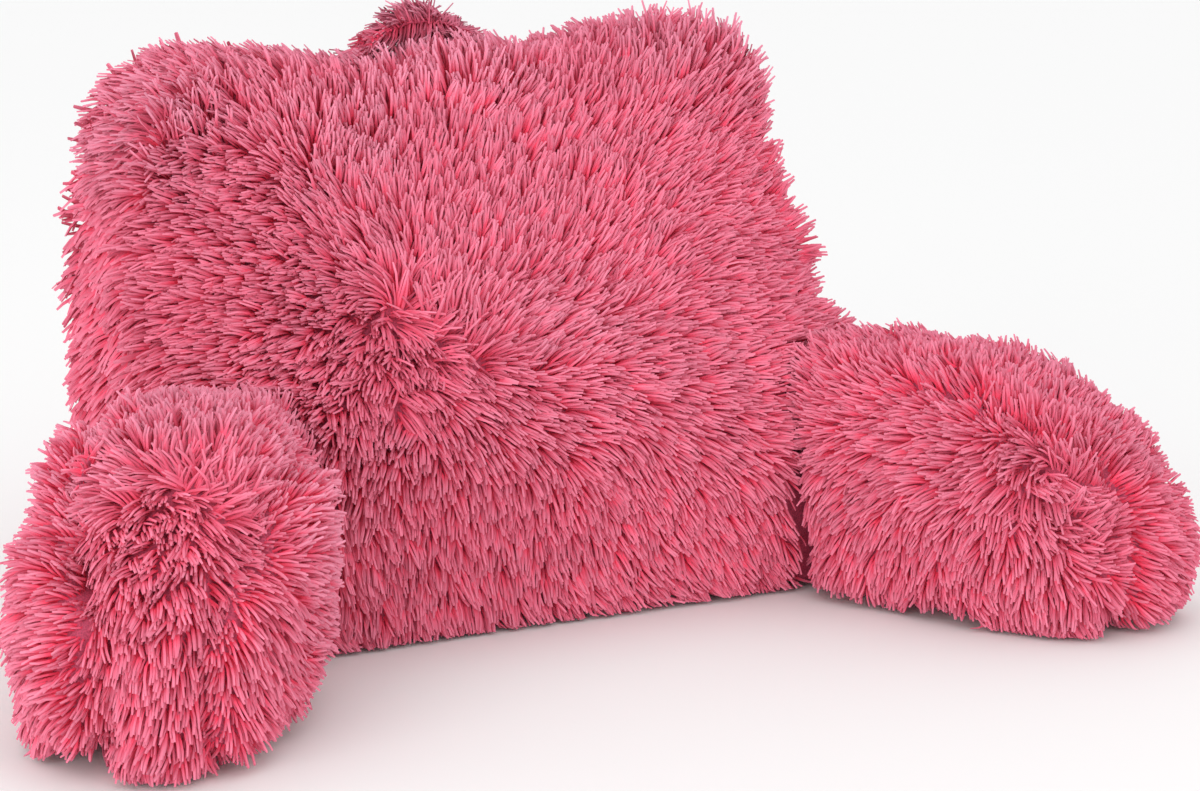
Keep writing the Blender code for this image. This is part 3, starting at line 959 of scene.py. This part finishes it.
LEFT_SWELLS = (
    Swell(-0.360, -0.13, 0.17, 0.045, 0.006),
    Swell(-0.335, -0.07, 0.17, 0.045, 0.018),
    Swell(-0.350, -0.08, 0.18, 0.035, 0.012),
    Swell(-0.365, -0.09, 0.14, 0.040, 0.008),
    Swell(-0.225, -0.21, 0.12, 0.055, 0.017),
    Swell(-0.290, -0.16, 0.19, 0.050, 0.007),
    Swell(-0.415, -0.24, 0.10, 0.035, -0.005),
    Swell(-0.430, -0.27, 0.02, 0.035, -0.014),
    Swell(-0.300, -0.30, 0.01, 0.030, 0.007),
    Swell(-0.265, -0.26, 0.06, 0.030, -0.008),
)
RIGHT_SWELLS = (
    Swell(0.325, -0.23, 0.17, 0.035, -0.012),
    Swell(0.385, -0.26, 0.11, 0.035, -0.003),
    Swell(0.290, -0.28, 0.01, 0.040, 0.006),
    Swell(0.210, -0.16, 0.01, 0.030, 0.004),
)

PANEL_FACING = 0.7  # by the cloth's normal
ARM_ZONES = {"top": 1, "inner": 2, "outer": 3}
ARM_DENSITY = {  # by the side that the arm is on: -1 for the left one
    -1: {"top": 122000.0, "inner": 80000.0, "outer": 105000.0},
    1: {"top": 115000.0, "inner": 115000.0, "outer": 45000.0},
}


def arm_place(side):
    """Where an arm's own length starts, and which way it runs."""
    angle = -math.pi / 2 + side * math.radians(ARM_SPLAY)
    return Matrix.Translation((side * ARM_ROOT[0], ARM_ROOT[1], 0)) @ Matrix.Rotation(angle, 4, "Z")


def seam_away(points, normals, seams):
    """How near each point is to an arm's seam, from 0 to 1, and the way the pile parts from it."""
    on_rim = np.clip(RIM_FROM - np.abs(normals[:, 1]) * RIM_SLOPE, 0, 1)
    near = np.zeros(len(points))
    away = np.zeros_like(points)
    for side in ("low", "high"):
        seam = np.interp(points[:, 0], [s.along for s in seams], [getattr(s, side) for s in seams])
        past = points[:, 1] - seam
        near = np.maximum(near, np.exp(-((past / SEAM_SPREAD) ** 2)) * on_rim)
        fading = np.exp(-((past / PARTING_SPREAD) ** 2))
        away[:, 1] += np.tanh(past / PARTING_EDGE) * fading * on_rim
    return near, away


def arm_zone(outwards):
    """Which piece of the pile grows here: on the strip, or on a panel."""
    if abs(outwards) < PANEL_FACING:
        return ARM_ZONES["top"]
    return ARM_ZONES["outer" if outwards > 0 else "inner"]


def make_arm(node, side, strokes, seams, seam_depth, swells):
    """One arm: its cloth with the two seams drawn in, and its pile."""
    place = np.array(arm_place(side))
    turn, start = place[:3, :3], place[:3, 3]

    def height_at(mesh, points, normals):
        _, stand, _, reach = combed(mesh, (points - start) @ turn, normals @ turn, strokes)
        return pile_height(ARM_LOCK, stand, reach, points, swells)

    arm = cloth_case(node, ("back_cushion",), ARM_CLOTH_CELL, height_at)
    points, normals = points_of(arm.data), normals_of(arm.data)
    near, _ = seam_away((points - start) @ turn, normals @ turn, seams)
    set_points(arm.data, points - normals * (near * seam_depth)[:, None])

    points, normals = points_of(arm.data), normals_of(arm.data)
    own_points, own_normals = (points - start) @ turn, normals @ turn
    near, away = seam_away(own_points, own_normals, seams)
    lay, stand, loose, reach = combed(arm.data, own_points, own_normals, strokes, away * PARTING)
    reach = reach * (1 - near * SHORTER_AT_SEAM)
    cover = sewn_share(points, ("back_cushion",)) * under_share(points, normals)
    cover = cover * (1 - near * THINNER_AT_SEAM)
    zones = [arm_zone(side * float(turn[:, 1] @ face.normal)) for face in arm.data.polygons]
    mark_cloth(arm.data, lay @ turn.T, stand, loose, reach, cover, zones)

    pile = [
        grow_pile(
            f"{node}_pile_{zone}",
            arm,
            FIBRE,
            **{
                "Locks per m2": ARM_DENSITY[side][zone],
                "Length": ARM_LOCK,
                "Width": ARM_LOCK_WIDTH,
                "Tuft size": TUFT_SIZE,
                "Tuft pull": TUFT_PULL,
                "Zone": float(number),
                "Seed": 10 + number + side,
            },
        )
        for zone, number in ARM_ZONES.items()
    ]
    arm.data.materials.clear()
    arm.data.materials.append(BACKING)
    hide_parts(node)
    for piece in (arm, *pile):
        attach(piece, "root")


make_arm("arm_left", -1, LEFT_STROKES, LEFT_SEAMS, LEFT_SEAM_DEPTH, LEFT_SWELLS)
make_arm("arm_right", 1, RIGHT_STROKES, RIGHT_SEAMS, RIGHT_SEAM_DEPTH, RIGHT_SWELLS)


# ---- The carry loop ----
# A short padded strap of the same cloth over the middle of the top, with both ends tucked into the cushion.
# Its pile is swept out along both ends, stands up in a crest at the top, and hangs over the room underneath.

LOOP_CLOTH_CELL = 0.005
LOOP_LOCK, LOOP_LOCK_WIDTH, LOOP_DENSITY = 0.013, 0.0017, 170000.0
LOOP_TUFT_SIZE, LOOP_TUFT_PULL = 0.012, 0.4
LOOP_PILE_HEIGHT = 0.006
LOOP_THIN_FROM, LOOP_THIN_OVER = 0.030, 0.020  # the strap thins towards its left end, from here and over this
HANGING_STAND, HANGING_REACH = 0.2, 1.0  # more than on top
HANGING_FROM, HANGING_SLOPE = -1.2, 2.4  # only where the strap faces down

# The loop is the same cloth as the pile: its paler, greyer colours are painted sheen, and its root's colour
# is painted shade between the locks.
LOOP_ROOT_SHADE = (0.82, 0.088, 0.175)
LOOP_BODY_SHEEN = (0.68, 0.178, 0.272)
LOOP_TIP_SHEEN = (0.68, 0.330, 0.420)
LOOP_SHEEN_FIBRE = fibre_material("loop fibre with painted sheen", LOOP_ROOT_SHADE, LOOP_BODY_SHEEN, LOOP_TIP_SHEEN)

LOOP_STROKES = (
    Stroke(-0.060, 0.107, 0.385, -1.0, 0.0, -0.6, 0.0, 0.2, 0.9),
    Stroke(-0.045, 0.107, 0.400, -1.0, 0.0, -0.4, 0.0, 0.2, 0.9),
    Stroke(-0.045, 0.125, 0.405, -1.0, 0.0, 0.0, 0.0, 0.2, 0.8),
    Stroke(-0.034, 0.107, 0.405, -1.0, 0.0, 0.1, 0.2, 0.3, 1.0),
    Stroke(-0.020, 0.107, 0.404, -0.5, -0.1, 0.8, 0.7, 0.4, 1.7),
    Stroke(-0.018, 0.120, 0.420, -0.4, 0.0, 1.0, 0.7, 0.3, 1.2),
    Stroke(-0.004, 0.107, 0.405, 0.0, -0.1, 1.0, 0.5, 0.4, 1.0),
    Stroke(0.012, 0.107, 0.400, 0.5, 0.0, 0.7, 0.3, 0.4, 0.9),
    Stroke(0.035, 0.107, 0.388, 0.9, 0.0, 0.2, 0.2, 0.3, 0.9),
)


def loop_height(mesh, points, normals):
    thinner = np.clip((-points[:, 0] - LOOP_THIN_FROM) / LOOP_THIN_OVER, 0, 1)
    return LOOP_PILE_HEIGHT * (1 + thinner)


loop = cloth_case("carry_loop", ("back_cushion",), LOOP_CLOTH_CELL, loop_height)
points, normals = points_of(loop.data), normals_of(loop.data)
lay, stand, loose, reach = combed(loop.data, points, normals, LOOP_STROKES, evening=1)
under = np.clip(HANGING_FROM - normals[:, 2] * HANGING_SLOPE, 0, 1)
stand = stand + under * HANGING_STAND
reach = reach + under * HANGING_REACH
cover = sewn_share(points, ("back_cushion",))
mark_cloth(loop.data, lay, stand, loose, reach, cover, np.ones(len(loop.data.polygons)))

loop_pile = grow_pile(
    "carry_loop_pile",
    loop,
    LOOP_SHEEN_FIBRE,
    **{
        "Locks per m2": LOOP_DENSITY,
        "Length": LOOP_LOCK,
        "Width": LOOP_LOCK_WIDTH,
        "Tuft size": LOOP_TUFT_SIZE,
        "Tuft pull": LOOP_TUFT_PULL,
        "Zone": 1.0,
        "Seed": 31,
    },
)
loop.data.materials.clear()
loop.data.materials.append(BACKING)
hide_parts("carry_loop")
for piece in (loop, loop_pile):
    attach(piece, "root")


# ---- The ground, the light and the camera ----
# A plain pale floor under even white light from all round, with one broad lamp low down at the front left and
# a weaker one at the front right. The pillow is seen from the front left, a little from above.

FLOOR_HALF = 20.0
floor_mesh = bpy.data.meshes.new("floor")
floor_corners = [(x * FLOOR_HALF, y * FLOOR_HALF, 0) for x, y in ((-1, -1), (1, -1), (1, 1), (-1, 1))]
floor_mesh.from_pydata(floor_corners, [], [(0, 1, 2, 3)])
floor = new_piece("floor", floor_mesh)
floor_paint, _, floor_shader = painted("pale floor", roughness=0.9)
floor_shader.inputs["Base Color"].default_value = (0.95, 0.95, 0.95, 1)
floor_mesh.materials.append(floor_paint)

world = bpy.data.worlds.new("studio")
world.use_nodes = True
sky = world.node_tree.nodes["Background"]
sky.inputs["Color"].default_value = (1, 1, 1, 1)
sky.inputs["Strength"].default_value = 1.0
bpy.context.scene.world = world

Lamp = namedtuple("Lamp", "name place size power")
LAMPS = (
    Lamp("front left", (-2.5, -1.5, 0.6), 1.6, 27),
    Lamp("front right", (1.0, -2.4, 0.6), 1.6, 5),
)
LIT_POINT = Vector((0, 0, 0.2))
for lamp in LAMPS:
    light = bpy.data.lights.new(lamp.name, "AREA")
    light.energy = lamp.power
    light.size = lamp.size
    hung = new_piece(lamp.name.replace(" ", "_"), light)
    hung.location = lamp.place
    hung.rotation_euler = (LIT_POINT - Vector(lamp.place)).to_track_quat("-Z", "Y").to_euler()

CAMERA_TARGET = Vector((0, -0.087, 0.174))
CAMERA_AROUND, CAMERA_ABOVE = math.radians(-26.13), math.radians(11.35)
CAMERA_AWAY = 1.886
CAMERA_SENSOR, CAMERA_LENS = 36, 81.29  # mm
CAMERA_SHIFT = (0.0401, -0.0142)  # of the frame's width
back_way = Vector(
    (
        math.sin(CAMERA_AROUND) * math.cos(CAMERA_ABOVE),
        -math.cos(CAMERA_AROUND) * math.cos(CAMERA_ABOVE),
        math.sin(CAMERA_ABOVE),
    )
)
eye = bpy.data.cameras.new("camera")
eye.sensor_width = CAMERA_SENSOR
eye.lens = CAMERA_LENS
eye.shift_x, eye.shift_y = CAMERA_SHIFT
camera = new_piece("camera", eye)
camera.location = CAMERA_TARGET + back_way * CAMERA_AWAY
camera.rotation_euler = (-back_way).to_track_quat("-Z", "Y").to_euler()
bpy.context.scene.camera = camera
bpy.context.scene.view_settings.view_transform = "Standard"
